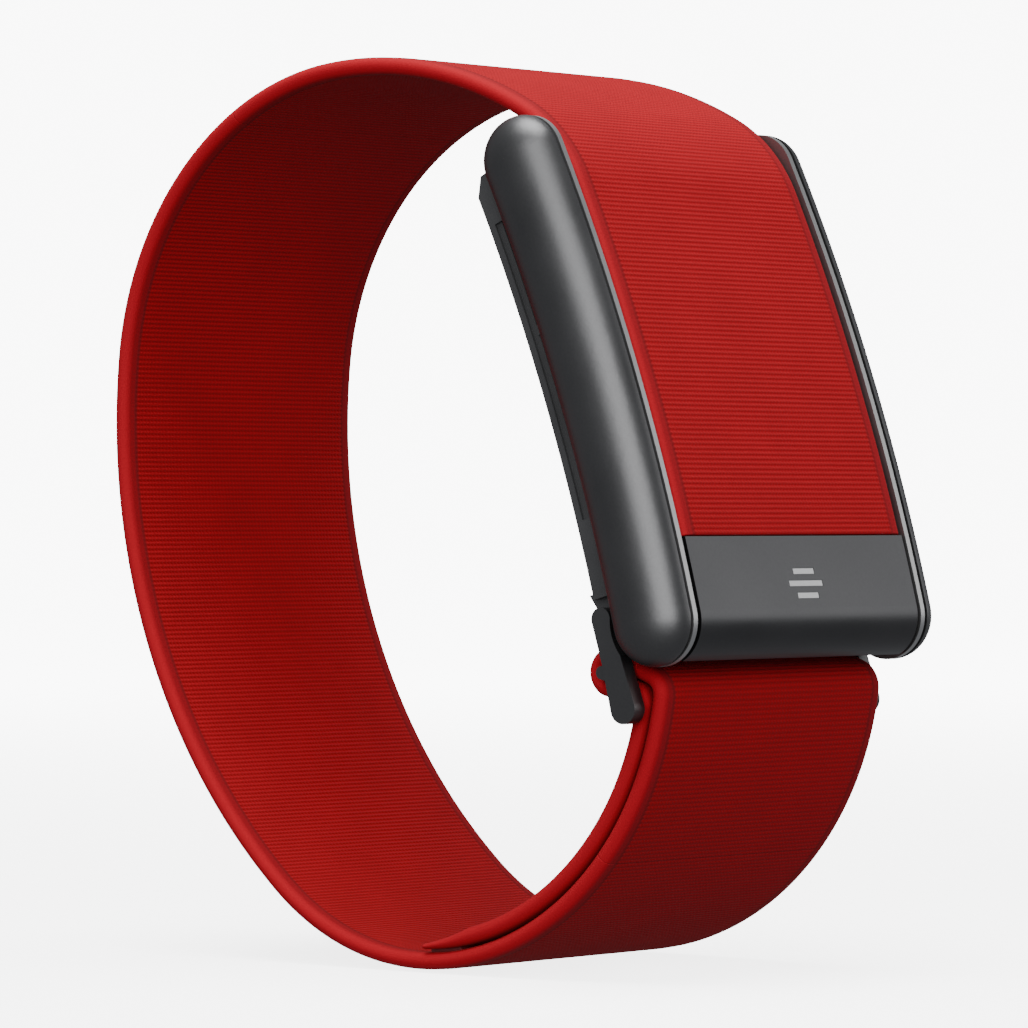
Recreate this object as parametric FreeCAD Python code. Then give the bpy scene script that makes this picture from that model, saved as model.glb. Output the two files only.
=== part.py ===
"""Activity tracker on a knitted wristband, built as separate pieces with real joints.

Frame: +X runs along the wrist, the pod sits on the -Y side, +Z is up, and the origin is
the middle of the wrist opening. Millimetres and degrees.

The pod is bent about a distant line parallel to X. Its pieces are placed by two numbers:
an arc position, measured up the pod from its middle, and a depth below its outer face.
The band is a chain of tangent arcs. A heading of 0 points up (+Z) and 90 points to +Y.
"""
import FreeCAD
import Part
import math
import os

V = FreeCAD.Vector
ORIGIN = V(0, 0, 0)
AXIS_X = V(1, 0, 0)

# ---- driving dimensions: pod ------------------------------------------------------
POD_LENGTH = 39.6            # along its outer arc, end to end
POD_THICKNESS = 6.2          # of the pill-shaped side outline
POD_BEND_RADIUS = 167.5      # of the outer face
POD_TILT = 19.9              # lean of the pod's middle from upright
POD_FACE_Y = -28.4           # middle of the outer face
POD_FACE_Z = 9.85
PLINTH_HEIGHT = 1.9          # how far the skin side stands beyond the pill outline

# ---- driving dimensions: band -----------------------------------------------------
BAND_WIDTH = 25.0
BAND_THICKNESS = 1.2
FACE_LEAVE_INSET = 2.9       # band leaves the face this far before the round end's centre
TOP_BENDS = [(12.0, 37.0), (31.0, 34.0), (23.0, 78.0)]   # radius, turn
LOW_BACK_TURN = 56.0         # radius is worked out so that the band meets the link
UNDER_BEND = (21.0, 50.0)
FRONT_END_HEADING = 352.0
LAYER_GAP = 0.22             # between the front layer and the folded-back tail
TAIL_EXTRA = 8.0             # how far the tail runs under the loop, in degrees
TOP_FLEX_END = 82.0          # heading where the flexing top ends
LOWER_FLEX_START = 333.0     # heading where the flexing front begins
FOLD_LEG = 2.0               # how far the fold on the link reaches down the front, in degrees

# ---- driving dimensions: side of the pod, from the band's edge outwards ------------
SIDE_GAP = 0.3
RAIL_THICKNESS = 0.45
GROOVE_WIDTH = 0.3
GROOVE_DEPTH = 0.4
COVER_DOME = 2.2
COVER_WALL = 0.6

# ---- driving dimensions: lid --------------------------------------------------------
SEAM = 8.1                   # from the pod's lower end up to the metal plate's top edge
SEAM_GAP = 0.1
PLATE_THICKNESS = 0.9
PLATE_WRAP = 75.0            # how far the plate turns round the pod's lower end
CARRIER_THICKNESS = 0.7
CARRIER_GAP = 0.1            # between the fabric and the carrier
LID_CLEARANCE = 0.3          # between the closed lid and the chassis
LID_HINGE_DEPTH = 3.6
LID_BARREL_RADIUS = 1.3
LID_PIN_RADIUS = 0.5
LID_BARREL_HALF = 8.5
PIN_CLEARANCE = 0.05
CLAMP_WIDTH = 1.0
CLAMP_THICKNESS = 0.3
BLADE_THICKNESS = 0.6
BLADE_HALF = 4.0
BLADE_REACH = 1.9
BLADE_CLEARANCE = 0.2
BLADE_NOSE_GAP = 0.75        # blade's middle above the chassis's nose
MARK_DEPTH = 0.2
MARK_LINE = 0.42             # height of each bar of the mark, and of the space below it
MARK_BARS = [(1, 1.2), (0, 1.9), (-1, 1.2)]   # row, half length
MARK_DROP = 3.3              # middle of the mark below the plate's top edge

# ---- driving dimensions: chassis and back housing ----------------------------------
FLOOR_THICKNESS = 0.6
NOSE_GAP = 0.1
SEAL_THICKNESS = 0.2
TRAY_SIDE_GAP = 0.2
TRAY_WALL = 1.6
TRAY_END_WALL = 1.0
SKIN_WALL = 1.0
LIP_HEIGHT = 0.55
LEDGE_HEIGHT = 0.5
SLOT_HEIGHT = 0.6
SLOT_DEPTH = 1.0
SLOT_LOW_INSET = 5.62        # charger slots' outer ends, from the plinth's ends
SLOT_HIGH_INSET = 3.7
UPPER_SLOT_LENGTH = 8.1
SLOT_BRIDGE = 0.7            # between the two slots in each flank
RAIL_STRIP = 0.2
RAIL_WIDTH = 0.45
TRAY_BLADE_GAP = 0.85        # tray's lower end above the middle of the lid's blade
TRAY_HIGH_INSET = 2.8        # tray's upper end, from the round end's centre
PLINTH_LOW_INSET = 2.73
PLINTH_HIGH_REACH = 1.0
SHOULDER = 1.6               # slope at the plinth's upper end
SCREW_RADIUS = 0.4
SCREW_HEAD_RADIUS = 0.75
SCREW_HEAD_HEIGHT = 0.4
SCREW_LENGTH = 3.6
SCREW_END_OFFSET = 1.1       # from the tray's end, along the pod
WINDOW_HALF_X = 7.4
WINDOW_HALF_S = 6.1
WINDOW_FLANGE = 0.45
WINDOW_CROWN = 0.8
CONTACT_RADIUS = 0.8
CONTACT_PITCH = 3.2
CONTACT_PROUD = 0.1

# ---- driving dimensions: electronics -------------------------------------------------
BOARD_THICKNESS = 0.4
BOARD_GAP = 0.4              # between the two boards
SENSOR_BOARD_HALF_X = 9.0
SENSOR_BOARD_LENGTH = 13.6
FIT = 0.25                   # air round the pieces in the tray
BOARD_AIR = 0.4              # between the main board and what faces it
HAPTIC_RADIUS = 1.3
HAPTIC_CAN_LENGTH = 8.0
HAPTIC_WEIGHT_LENGTH = 3.0
HAPTIC_SHAFT_RADIUS = 0.35
SHIELD_LENGTH = 5.0
SHIELD_WALL = 0.2

# ---- driving dimensions: link ---------------------------------------------------------
LINK_PIN_RADIUS = 0.4
LINK_PIN_SKIN = 0.35         # ear left over the pin's end
LINK_EYE_RADIUS = 0.8
LINK_LENGTH = 3.7            # pin to bar
LINK_LEAN = 11.0             # bar's lean towards the wrist, seen from the pin
LINK_EAR_THICKNESS = 1.1
LINK_KNEE = (-1.0, -3.0)     # Y and Z from the pin
LINK_KNEE_RADIUS = 0.85
LINK_FOOT = (-1.9, -6.0)
LINK_FOOT_RADIUS = 1.05
LINK_WEB_ROOT = (0.1, -1.0)  # where the bar's arm joins the ear, Y and Z from the knee
LINK_WEB_REACH = 0.2         # arm's thickness inside the ear's inner face
LINK_WEB_SINK = 0.15         # and within the ear
LINK_EAR_CLEARANCE = 0.4     # round the pill's lower end
LINK_SIDE_CLEARANCE = 0.2
BAR_RADIUS = 0.45
BAR_CLEARANCE = 0.05
FOLD_RUN = 3.3               # flat stretch of band over the bar
FOLD_TIP_RADIUS = 2.0
FOLD_HEADING = 69.0          # heading of that stretch
FOLD_CORNER_RADIUS = 0.35

# ---- worked out: places across the pod -------------------------------------------------
BAND_HALF = BAND_WIDTH / 2
RAIL_INNER = BAND_HALF + SIDE_GAP
RAIL_OUTER = RAIL_INNER + RAIL_THICKNESS
COVER_BASE = RAIL_OUTER + GROOVE_WIDTH
TRAY_HALF = RAIL_INNER - TRAY_SIDE_GAP
CAVITY_HALF = TRAY_HALF - TRAY_WALL
LIP_HALF = RAIL_OUTER - 0.05
LEDGE_HALF = LIP_HALF - 0.2
EAR_INNER = RAIL_INNER + LINK_SIDE_CLEARANCE / 2
EAR_OUTER = EAR_INNER + LINK_EAR_THICKNESS
PIN_END = EAR_OUTER - LINK_PIN_SKIN
SCREW_X = TRAY_HALF - TRAY_WALL / 2

# ---- worked out: depths below the outer face -------------------------------------------
END_RADIUS = POD_THICKNESS / 2
MID_RADIUS = POD_BEND_RADIUS - END_RADIUS
CARRIER_TOP = BAND_THICKNESS + CARRIER_GAP
CARRIER_BOTTOM = CARRIER_TOP + CARRIER_THICKNESS
FLOOR_TOP = CARRIER_BOTTOM + LID_CLEARANCE
FLOOR_BOTTOM = FLOOR_TOP + FLOOR_THICKNESS
TRAY_TOP = FLOOR_BOTTOM + SEAL_THICKNESS
PLINTH_TOP = POD_THICKNESS + 0.1
PLINTH_BOTTOM = POD_THICKNESS + PLINTH_HEIGHT
CAVITY_BOTTOM = PLINTH_BOTTOM - SKIN_WALL
SLOT_TOP = PLINTH_BOTTOM - LIP_HEIGHT - LEDGE_HEIGHT - SLOT_HEIGHT
LEDGE_TOP = SLOT_TOP + SLOT_HEIGHT
LEDGE_BOTTOM = LEDGE_TOP + LEDGE_HEIGHT
NOSE_RADIUS = END_RADIUS - PLATE_THICKNESS - NOSE_GAP

# ---- worked out: places along the pod ----------------------------------------------------
END_S = POD_LENGTH / 2 - END_RADIUS
SEAM_S = -POD_LENGTH / 2 + SEAM
BLADE_S = -END_S + NOSE_RADIUS + BLADE_NOSE_GAP
TRAY_LOW = BLADE_S + TRAY_BLADE_GAP
TRAY_HIGH = END_S - TRAY_HIGH_INSET
PLINTH_LOW = -END_S + PLINTH_LOW_INSET
PLINTH_HIGH = END_S + PLINTH_HIGH_REACH
FACE_LEAVE = END_S - FACE_LEAVE_INSET
UPPER_SLOT = (PLINTH_HIGH - SLOT_HIGH_INSET - UPPER_SLOT_LENGTH, PLINTH_HIGH - SLOT_HIGH_INSET)
LOWER_SLOT = (PLINTH_LOW + SLOT_LOW_INSET, UPPER_SLOT[0] - SLOT_BRIDGE)
FLOOR_HIGH = TRAY_HIGH - 0.9
CAVITY_LOW = TRAY_LOW + TRAY_END_WALL
CAVITY_HIGH = TRAY_HIGH - TRAY_END_WALL - 0.6
CARRIER_LOW = -END_S + math.sqrt(NOSE_RADIUS ** 2 - (END_RADIUS - CARRIER_BOTTOM) ** 2) + 0.3
HAPTIC_S = CAVITY_LOW + HAPTIC_RADIUS + FIT
HAPTIC_DEPTH = (TRAY_TOP + CAVITY_BOTTOM) / 2
LINK_PIN_S = PLINTH_LOW - 1.6
LINK_PIN_DEPTH = POD_THICKNESS + LINK_EYE_RADIUS + 0.25
SCREW_PLACES = [(side * SCREW_X, s) for side in (-1, 1)
                for s in (TRAY_LOW + SCREW_END_OFFSET, FLOOR_HIGH - SCREW_END_OFFSET)]


# ---- headings and the pod's own frame --------------------------------------------------
def normal(heading):
    """Unit vector away from the wrist for a piece that runs along the heading."""
    turn = math.radians(heading)
    return V(0, -math.cos(turn), math.sin(turn))


def along(heading):
    turn = math.radians(heading)
    return V(0, math.sin(turn), math.cos(turn))


POD_CENTRE = V(0, POD_FACE_Y, POD_FACE_Z) - normal(POD_TILT) * POD_BEND_RADIUS


def pod_heading(s):
    return POD_TILT + math.degrees(s / MID_RADIUS)


def pod_point(s, depth, x=0.0):
    return POD_CENTRE + normal(pod_heading(s)) * (POD_BEND_RADIUS - depth) + V(x, 0, 0)


def extrude(face, x0, x1):
    """Sweep a face that lies in the plane X = 0 from x0 to x1."""
    moved = face.copy()
    moved.translate(V(x0, 0, 0))
    return moved.extrude(V(x1 - x0, 0, 0))


def both_sides(shape):
    return shape.fuse(shape.mirror(ORIGIN, AXIS_X))


def pod_arc(s0, s1, depth):
    return Part.Arc(pod_point(s0, depth), pod_point((s0 + s1) / 2, depth), pod_point(s1, depth)).toShape()


def bent(s0, s1, depth0, depth1, x0, x1):
    """Block that follows the pod's bend."""
    edges = [pod_arc(s0, s1, depth0),
             Part.makeLine(pod_point(s1, depth0), pod_point(s1, depth1)),
             pod_arc(s0, s1, depth1),
             Part.makeLine(pod_point(s0, depth1), pod_point(s0, depth0))]
    return extrude(Part.Face(Part.Wire(Part.__sortEdges__(edges))), x0, x1)


def pod_polygon(places, x0, x1):
    points = [pod_point(s, depth) for s, depth in places]
    return extrude(Part.Face(Part.makePolygon(points + points[:1])), x0, x1)


def slab(s, length, depth0, depth1, x0, x1):
    """Flat box, square to the pod at arc position s."""
    box = Part.makeBox(x1 - x0, depth1 - depth0, length, V(x0, depth0, -length / 2))
    return to_pod(box, s)


def to_pod(shape, s):
    """Place a shape drawn with X across, Y as depth and Z up the pod."""
    turn = FreeCAD.Rotation(AXIS_X, -pod_heading(s))
    placed = shape.copy()
    placed.Placement = FreeCAD.Placement(pod_point(s, 0), turn).multiply(placed.Placement)
    return placed


def peg(s, x, depth0, depth1, radius):
    """Round peg along the pod's normal."""
    return to_pod(Part.makeCylinder(radius, depth1 - depth0, V(x, depth0, 0), V(0, 1, 0)), s)


def rod(centre, radius, x0, x1):
    return Part.makeCylinder(radius, x1 - x0, V(x0, centre.y, centre.z), AXIS_X)


def pill_face(radius):
    """Bent slot outline: the side view of the pod."""
    top, low = pod_point(END_S, END_RADIUS), pod_point(-END_S, END_RADIUS)
    up = along(pod_heading(END_S)) * radius
    down = along(pod_heading(-END_S)) * -radius
    outer = pod_arc(-END_S, END_S, END_RADIUS - radius)
    inner = pod_arc(-END_S, END_S, END_RADIUS + radius)
    cap_top = Part.Arc(pod_point(END_S, END_RADIUS - radius), top + up,
                       pod_point(END_S, END_RADIUS + radius)).toShape()
    cap_low = Part.Arc(pod_point(-END_S, END_RADIUS + radius), low + down,
                       pod_point(-END_S, END_RADIUS - radius)).toShape()
    return Part.Face(Part.Wire(Part.__sortEdges__([outer, cap_top, inner, cap_low])))


# ---- the band's route ------------------------------------------------------------------
class Arc:
    """Bend of the band. The radius is to its outer surface, and a negative one turns outwards."""

    def __init__(self, start, heading, radius, turn):
        self.radius, self.first, self.last = radius, heading, heading + turn
        self.centre = start - normal(heading) * radius
        self.end = self.point(self.last, 0)

    def point(self, heading, depth):
        return self.centre + normal(heading) * (self.radius - depth)

    def edge(self, depth):
        middle = (self.first + self.last) / 2
        return Part.Arc(self.point(self.first, depth), self.point(middle, depth),
                        self.point(self.last, depth)).toShape()

    def ends(self, depth):
        return self.point(self.first, depth), self.point(self.last, depth)


class Run:
    """Straight stretch of the band."""

    def __init__(self, start, heading, length):
        self.start, self.last = start, heading
        self.end = start + along(heading) * length

    def edge(self, depth):
        return Part.makeLine(*self.ends(depth))

    def ends(self, depth):
        sink = normal(self.last) * -depth
        return self.start + sink, self.end + sink


def strip(pieces, depth0, depth1, half_width):
    """Solid of the band between two depths, along pieces of its route."""
    edges = [piece.edge(depth) for depth in (depth0, depth1) for piece in pieces]
    edges.append(Part.makeLine(pieces[0].ends(depth0)[0], pieces[0].ends(depth1)[0]))
    edges.append(Part.makeLine(pieces[-1].ends(depth0)[1], pieces[-1].ends(depth1)[1]))
    return extrude(Part.Face(Part.Wire(Part.__sortEdges__(edges))), -half_width, half_width)


def follow(start, heading, bends):
    """Chain of tangent arcs from (radius, turn) pairs."""
    pieces = []
    for radius, turn in bends:
        pieces.append(Arc(start, heading, radius, turn))
        start, heading = pieces[-1].end, pieces[-1].last
    return pieces


def reach(heading, turn):
    """Displacement of an arc of radius 1."""
    return normal(heading + turn) - normal(heading)


LINK_PIN = pod_point(LINK_PIN_S, LINK_PIN_DEPTH)
BAR = LINK_PIN + along(180 - LINK_LEAN) * LINK_LENGTH
BULB_RADIUS = BAR_RADIUS + BAR_CLEARANCE + BAND_THICKNESS

# The fold on the link, worked backwards from the bar to the front of the loop.
RUN_START = BAR + normal(FOLD_HEADING) * BULB_RADIUS - along(FOLD_HEADING) * FOLD_RUN
TIP_CENTRE = RUN_START - normal(FOLD_HEADING) * FOLD_TIP_RADIUS
FRONT_END = TIP_CENTRE + normal(FRONT_END_HEADING) * FOLD_TIP_RADIUS

# The loop, from the pod's face over the top and round the back. The radii of the lower back
# and of the front are the two that make it end at the fold.
FACE_END = pod_point(FACE_LEAVE, 0)
UPPER = follow(FACE_END, pod_heading(FACE_LEAVE), TOP_BENDS)
BACK_HEADING = UPPER[-1].last
UNDER_HEADING = BACK_HEADING + LOW_BACK_TURN
FRONT_HEADING = UNDER_HEADING + UNDER_BEND[1]
LEFT_OVER = FRONT_END - UPPER[-1].end - reach(UNDER_HEADING, UNDER_BEND[1]) * UNDER_BEND[0]
BACK_REACH = reach(BACK_HEADING, LOW_BACK_TURN)
FRONT_REACH = reach(FRONT_HEADING, FRONT_END_HEADING - FRONT_HEADING)
SPREAD = BACK_REACH.y * FRONT_REACH.z - BACK_REACH.z * FRONT_REACH.y
LOW_BACK_RADIUS = (LEFT_OVER.y * FRONT_REACH.z - LEFT_OVER.z * FRONT_REACH.y) / SPREAD
FRONT_RADIUS = (BACK_REACH.y * LEFT_OVER.z - BACK_REACH.z * LEFT_OVER.y) / SPREAD
LOWER = follow(UPPER[-1].end, BACK_HEADING, [(LOW_BACK_RADIUS, LOW_BACK_TURN), UNDER_BEND])
FRONT_CENTRE = FRONT_END - normal(FRONT_END_HEADING) * FRONT_RADIUS

# The folded-back tail lies inside the front layer, on the same centre.
TAIL_OFFSET = 2 * BAND_THICKNESS + LAYER_GAP
TAIL_RADIUS = FRONT_RADIUS - TAIL_OFFSET
CORNER_Z = BAR.z - BULB_RADIUS - FOLD_CORNER_RADIUS
CORNER_REACH = TAIL_RADIUS - FOLD_CORNER_RADIUS
TAIL_HEADING = 180 + math.degrees(math.asin((CORNER_Z - FRONT_CENTRE.z) / CORNER_REACH))
FOLD_START = TAIL_HEADING + 180 - FOLD_LEG


def front_layer(first, last):
    return Arc(FRONT_CENTRE + normal(first) * FRONT_RADIUS, first, FRONT_RADIUS, last - first)


def tail_layer(first, last):
    """Inner layer between two headings of the front layer, running down the front."""
    start = FRONT_CENTRE + normal(first) * TAIL_RADIUS
    return Arc(start, first - 180, -TAIL_RADIUS, last - first)


# ---- pod: outer pieces -------------------------------------------------------------------
def chassis():
    cheek = extrude(pill_face(END_RADIUS), RAIL_INNER, RAIL_OUTER)
    knuckle = rod(LID_HINGE, LID_BARREL_RADIUS, LID_BARREL_HALF + LINK_SIDE_CLEARANCE, RAIL_INNER)
    body = both_sides(cheek.fuse(knuckle))
    nose = rod(pod_point(-END_S, END_RADIUS), NOSE_RADIUS, -RAIL_INNER, RAIL_INNER)
    floor = bent(-END_S, FLOOR_HIGH, FLOOR_TOP, FLOOR_BOTTOM, -RAIL_INNER, RAIL_INNER)
    slot_half = BLADE_HALF + BLADE_CLEARANCE
    slot = slab(BLADE_S, BLADE_THICKNESS + 2 * BLADE_CLEARANCE, FLOOR_TOP - 1, FLOOR_BOTTOM + 1,
                -slot_half, slot_half)
    cuts = [slot, rod(LID_HINGE, LID_PIN_RADIUS, -RAIL_INNER, RAIL_INNER)]
    for x, s in SCREW_PLACES:
        cuts.append(peg(s, x, FLOOR_TOP - 0.5, FLOOR_TOP + SCREW_HEAD_HEIGHT + 0.05, SCREW_HEAD_RADIUS))
        cuts.append(peg(s, x, FLOOR_TOP, FLOOR_BOTTOM + 0.5, SCREW_RADIUS))
    return body.fuse([nose, floor]).cut(cuts)


def dome(radius, height, base):
    """Pill-shaped dome: half an ellipse carried along the pod, turned at both ends."""
    def profile(s, outwards, span):
        centre = pod_point(s, END_RADIUS, base)
        rim = centre + normal(pod_heading(s)) * radius * outwards
        curve = Part.Ellipse(rim, centre + V(height, 0, 0), centre)
        arc = Part.ArcOfEllipse(curve, 0, span)
        last = arc.EndPoint
        edges = [arc.toShape(), Part.makeLine(last, centre), Part.makeLine(centre, rim)]
        return Part.Face(Part.Wire(Part.__sortEdges__(edges)))

    sweep = pod_heading(END_S) - pod_heading(-END_S)
    middle = profile(-END_S, 1, math.pi).revolve(POD_CENTRE, -AXIS_X, sweep)
    top = profile(END_S, 1, math.pi / 2).revolve(pod_point(END_S, END_RADIUS), -AXIS_X, 180)
    low = profile(-END_S, -1, math.pi / 2).revolve(pod_point(-END_S, END_RADIUS), -AXIS_X, 180)
    return middle.fuse([top.toNurbs(), low.toNurbs()])


def side_cover():
    shell = dome(END_RADIUS, COVER_DOME, COVER_BASE)
    return shell.cut(dome(END_RADIUS - COVER_WALL, COVER_DOME - COVER_WALL, COVER_BASE))


def side_gasket():
    return extrude(pill_face(END_RADIUS - GROOVE_DEPTH), RAIL_OUTER, COVER_BASE)


def back_housing():
    tray = bent(TRAY_LOW, TRAY_HIGH, TRAY_TOP, PLINTH_TOP + 0.2, -TRAY_HALF, TRAY_HALF)
    plinth = bent(PLINTH_LOW, PLINTH_HIGH, PLINTH_TOP, PLINTH_BOTTOM, -LIP_HALF, LIP_HALF)
    web = pod_polygon([(LINK_PIN_S, LINK_PIN_DEPTH - LINK_EYE_RADIUS),
                       (PLINTH_LOW + 0.5, LINK_PIN_DEPTH - LINK_EYE_RADIUS),
                       (PLINTH_LOW + 0.5, LINK_PIN_DEPTH + 2 * LINK_EYE_RADIUS),
                       (LINK_PIN_S, LINK_PIN_DEPTH + LINK_EYE_RADIUS)],
                      -TRAY_HALF, TRAY_HALF)
    knuckle = rod(LINK_PIN, LINK_EYE_RADIUS, -TRAY_HALF, TRAY_HALF)
    body = tray.fuse([plinth, web, knuckle])

    past = LIP_HALF + 1
    flank = [bent(*LOWER_SLOT, SLOT_TOP, LEDGE_TOP, TRAY_HALF - SLOT_DEPTH, past),
             bent(*UPPER_SLOT, SLOT_TOP, LEDGE_TOP, TRAY_HALF - SLOT_DEPTH, past),
             bent(LOWER_SLOT[0], UPPER_SLOT[1], LEDGE_TOP, LEDGE_BOTTOM, LEDGE_HALF, past)]
    cuts = [both_sides(piece) for piece in flank]
    shoulder = [(PLINTH_HIGH - SHOULDER, PLINTH_BOTTOM + 0.2), (PLINTH_HIGH + 1, PLINTH_BOTTOM + 0.2),
                (PLINTH_HIGH + 1, PLINTH_TOP + 0.3)]
    cuts.append(pod_polygon(shoulder, -past, past))
    cuts.append(bent(CAVITY_LOW, CAVITY_HIGH, TRAY_TOP - 1, CAVITY_BOTTOM, -CAVITY_HALF, CAVITY_HALF))
    sill_x, sill_s = WINDOW_HALF_X - 0.8, WINDOW_HALF_S - 0.8
    cuts.append(slab(0, 2 * sill_s, CAVITY_BOTTOM - 1, PLINTH_BOTTOM + 1, -sill_x, sill_x))
    seat_x = WINDOW_HALF_X + 0.1
    cuts.append(slab(0, 2 * WINDOW_HALF_S + 0.2, WINDOW_SEAT, PLINTH_BOTTOM + 1, -seat_x, seat_x))
    cuts.append(rod(LINK_PIN, LINK_PIN_RADIUS + PIN_CLEARANCE, -RAIL_OUTER, RAIL_OUTER))
    for x, s in SCREW_PLACES:
        cuts.append(peg(s, x, TRAY_TOP - 0.5, FLOOR_TOP + SCREW_HEAD_HEIGHT + SCREW_LENGTH, SCREW_RADIUS))
    for x in CONTACT_PLACES:
        cuts.append(peg(HAPTIC_S, x, CAVITY_BOTTOM - 0.5, PLINTH_BOTTOM + 0.5, CONTACT_RADIUS))
    return body.cut(cuts).removeSplitter()


def slide_rail():
    middle = (SLOT_TOP + LEDGE_TOP) / 2
    inner = TRAY_HALF - SLOT_DEPTH
    low, high = LOWER_SLOT[0] + FIT, LOWER_SLOT[1] - FIT
    return bent(low, high, middle - RAIL_STRIP / 2, middle + RAIL_STRIP / 2, inner, inner + RAIL_WIDTH)


# ---- pod: sensor window and electronics -------------------------------------------------
def optical_window():
    half_x, half_s = WINDOW_HALF_X, WINDOW_HALF_S
    flange_top = WINDOW_SEAT + SEAL_THICKNESS
    flange = Part.makeBox(2 * half_x, WINDOW_FLANGE, 2 * half_s, V(-half_x, flange_top, -half_s))
    inset = 0.5
    crown = Part.makeBox(2 * (half_x - inset), WINDOW_CROWN, 2 * (half_s - inset),
                         V(inset - half_x, flange_top + WINDOW_FLANGE, inset - half_s))
    top = max(vertex.Y for vertex in crown.Vertexes)
    rim = [edge for edge in crown.Edges if all(abs(v.Y - top) < 1e-6 for v in edge.Vertexes)]
    return to_pod(flange.fuse(crown.makeChamfer(WINDOW_CROWN / 2, rim)), 0)


def window_gasket():
    outer = slab(0, 2 * WINDOW_HALF_S, WINDOW_SEAT, WINDOW_SEAT + SEAL_THICKNESS,
                 -WINDOW_HALF_X, WINDOW_HALF_X)
    hole_x, hole_s = WINDOW_HALF_X - 0.75, WINDOW_HALF_S - 0.75
    return outer.cut(slab(0, 2 * hole_s, WINDOW_SEAT - 1, WINDOW_SEAT + 1, -hole_x, hole_x))


def light_barrier():
    half_x, half_s, wall = WINDOW_HALF_X - 1.0, WINDOW_HALF_S - 1.0, 0.5
    block = slab(0, 2 * half_s, SENSOR_FACE + 0.02, WINDOW_SEAT, -half_x, half_x)
    third = (2 * half_x - 4 * wall) / 3
    cells = [slab(0, 2 * (half_s - wall), SENSOR_FACE - 1, WINDOW_SEAT + 1,
                  -half_x + wall + i * (third + wall), -half_x + wall + i * (third + wall) + third)
             for i in range(3)]
    return block.cut(cells)


def chips(places, half_x, length, height):
    """Small square packages on the skin side of the sensor board, as (x, s) offsets."""
    solids = []
    for x, offset in places:
        box = Part.makeBox(2 * half_x, height, length, V(x - half_x, SENSOR_FACE, offset - length / 2))
        solids.append(to_pod(box, 0))
    return Part.makeCompound(solids)


def sensor_board():
    return slab(0, SENSOR_BOARD_LENGTH, SENSOR_FACE - BOARD_THICKNESS, SENSOR_FACE,
                -SENSOR_BOARD_HALF_X, SENSOR_BOARD_HALF_X)


def main_board():
    return slab(BOARD_MIDDLE, BOARD_LENGTH, BOARD_DEPTH, BOARD_DEPTH + BOARD_THICKNESS,
                -CAVITY_HALF + 2 * FIT, CAVITY_HALF - 2 * FIT)


def board_connector():
    gap_top, gap_bottom = BOARD_DEPTH + BOARD_THICKNESS, SENSOR_FACE - BOARD_THICKNESS
    return slab(BOARD_MIDDLE / 2, 2.4, gap_top + 0.05, gap_bottom - 0.05, -4, 4)


def rf_shield():
    middle = BOARD_LOW + SHIELD_LENGTH / 2 + FIT
    low, high, half = TRAY_TOP + 0.8, BOARD_DEPTH - BOARD_AIR, CAVITY_HALF - 3
    can = slab(middle, SHIELD_LENGTH, low, high, -half, half)
    return can.cut(slab(middle, SHIELD_LENGTH - 2 * SHIELD_WALL, low + SHIELD_WALL, high + 1,
                        SHIELD_WALL - half, half - SHIELD_WALL))


def battery():
    low = BOARD_LOW + SHIELD_LENGTH + 3 * FIT
    high = CAVITY_HIGH - FIT
    cell = slab((low + high) / 2, high - low, TRAY_TOP + FIT, BOARD_DEPTH - BOARD_AIR,
                -CAVITY_HALF + 4 * FIT, CAVITY_HALF - 4 * FIT)
    return cell.makeFillet(0.4, cell.Edges)


def antenna():
    return bent(CAVITY_LOW + 2, CAVITY_HIGH - 1, TRAY_TOP + 0.3, BOARD_DEPTH - 0.3,
                CAVITY_HALF - 0.5, CAVITY_HALF - 0.2)


def haptic_can():
    start = -HAPTIC_CAN_LENGTH
    can = rod(HAPTIC_AXIS, HAPTIC_RADIUS, start - 0.5, -0.5)
    return can.cut(rod(HAPTIC_AXIS, HAPTIC_SHAFT_RADIUS + PIN_CLEARANCE, -2.5, 0))


def haptic_shaft():
    return rod(HAPTIC_AXIS, HAPTIC_SHAFT_RADIUS, -2.4, HAPTIC_WEIGHT_LENGTH)


def haptic_weight():
    """Half disc on the motor's shaft, hanging below it."""
    disc = rod(HAPTIC_AXIS, HAPTIC_RADIUS - 0.1, 0, HAPTIC_WEIGHT_LENGTH)
    reach_out = 2 * HAPTIC_RADIUS
    upper = Part.makeBox(HAPTIC_WEIGHT_LENGTH + 2, 2 * reach_out, reach_out,
                         HAPTIC_AXIS + V(-1, -reach_out, HAPTIC_SHAFT_RADIUS + 0.15))
    return disc.cut([upper, rod(HAPTIC_AXIS, HAPTIC_SHAFT_RADIUS, -1, HAPTIC_WEIGHT_LENGTH + 1)])


def haptic_pad():
    return slab(HAPTIC_S, 2 * HAPTIC_RADIUS, HAPTIC_DEPTH + HAPTIC_RADIUS + 0.05, CAVITY_BOTTOM - 0.1,
                -HAPTIC_CAN_LENGTH, -1)


def charge_contacts():
    return Part.makeCompound([peg(HAPTIC_S, x, CAVITY_BOTTOM - 0.05, PLINTH_BOTTOM + CONTACT_PROUD,
                                  CONTACT_RADIUS) for x in CONTACT_PLACES])


def housing_gasket():
    ring = bent(TRAY_LOW + 0.15, FLOOR_HIGH, FLOOR_BOTTOM, TRAY_TOP, 0.15 - TRAY_HALF, TRAY_HALF - 0.15)
    hole = bent(CAVITY_LOW - 0.15, CAVITY_HIGH + 0.15, FLOOR_BOTTOM - 1, TRAY_TOP + 1,
                -CAVITY_HALF - 0.15, CAVITY_HALF + 0.15)
    return ring.cut([hole] + [peg(s, x, FLOOR_BOTTOM - 1, TRAY_TOP + 1, SCREW_RADIUS)
                              for x, s in SCREW_PLACES])


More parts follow.
